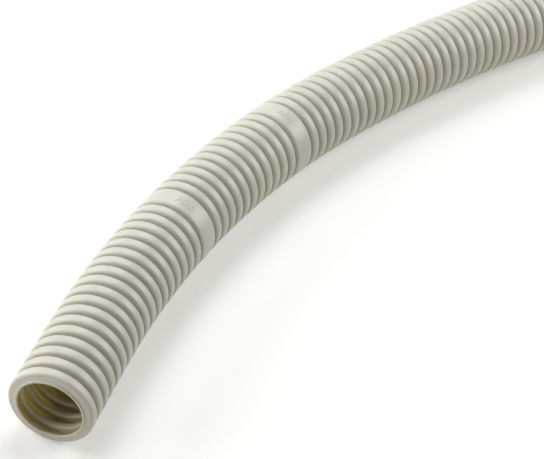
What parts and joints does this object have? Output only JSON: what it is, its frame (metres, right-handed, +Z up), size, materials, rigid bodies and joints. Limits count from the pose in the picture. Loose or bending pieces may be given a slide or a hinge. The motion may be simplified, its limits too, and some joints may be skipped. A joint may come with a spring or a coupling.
{
  "type": "corrugated conduit",
  "caption": "Cut length of ribbed plastic cable conduit with a gentle bend, smooth marking bands, and a waved bore open at both square-cut ends.",
  "frame": {"origin": "middle of the near cut end, on the tube's axis; the floor it lies on is 12.5 mm below", "axes": "+X along the long straight run towards the far end, +Z up from the floor; from the near end the tube sets off 35.8 degrees towards +Y and bends round to +X"},
  "size_m": [0.9884, 0.1049, 0.025],
  "materials": {
    "skin": "satin"
  },
  "bodies": {
    "root": {"conduit": "skin"}
  },
  "joints": []
}
